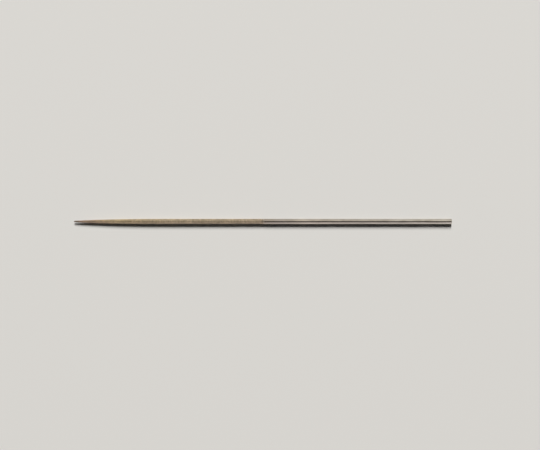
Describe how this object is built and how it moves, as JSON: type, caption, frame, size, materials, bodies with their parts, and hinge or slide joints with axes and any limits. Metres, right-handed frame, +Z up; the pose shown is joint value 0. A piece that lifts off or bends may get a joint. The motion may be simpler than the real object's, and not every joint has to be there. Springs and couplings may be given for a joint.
{
  "type": "round diamond needle file",
  "caption": "Slender round needle file with a bare polished steel shank and a tapered working end plated with diamond grit, for filing small holes and curves.",
  "frame": {"origin": "centre of the flat end of the shank", "axes": "+X along the file, from the tip towards the flat end of the shank; +Z up when the file lies on a table"},
  "size_m": [0.14, 0.002, 0.002],
  "materials": {
    "steel": "polished tool steel, with fine marks from grinding",
    "nickel": "matte electroplated nickel, tinted khaki by the grit",
    "diamond": "yellowish synthetic diamond grains"
  },
  "bodies": {
    "root": {"steel_blank": "steel", "nickel_bond": "nickel", "diamond_grit": "diamond"}
  },
  "joints": []
}
